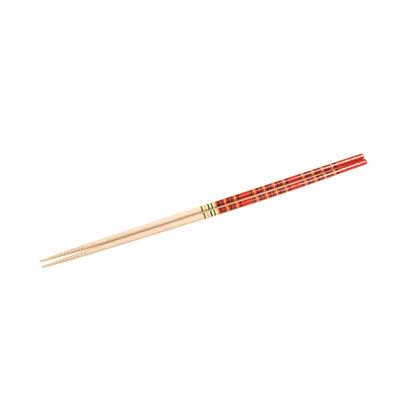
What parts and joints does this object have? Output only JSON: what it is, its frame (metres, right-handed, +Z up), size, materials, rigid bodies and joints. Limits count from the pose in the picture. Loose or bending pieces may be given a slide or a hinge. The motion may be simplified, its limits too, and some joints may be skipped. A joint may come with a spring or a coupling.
{
  "type": "pair of wooden chopsticks",
  "caption": "Pair of long slim round wooden chopsticks with ring-grooved tips, a bare tapering shaft and a glossy striped lacquered handle, lying side by side.",
  "frame": {"origin": "on the surface that the sticks lie on, under the middle of the pair", "axes": "+X along the sticks from the tips to the handle ends, +Y towards the far stick, +Z up"},
  "size_m": [0.3306, 0.0146, 0.0059],
  "materials": {
    "turned_wood": "fine straight grain, bare and matte from the tip to the middle, glossy striped lacquer on the handle"
  },
  "bodies": {
    "root": {"far_chopstick": "turned_wood", "near_chopstick": "turned_wood"}
  },
  "joints": []
}
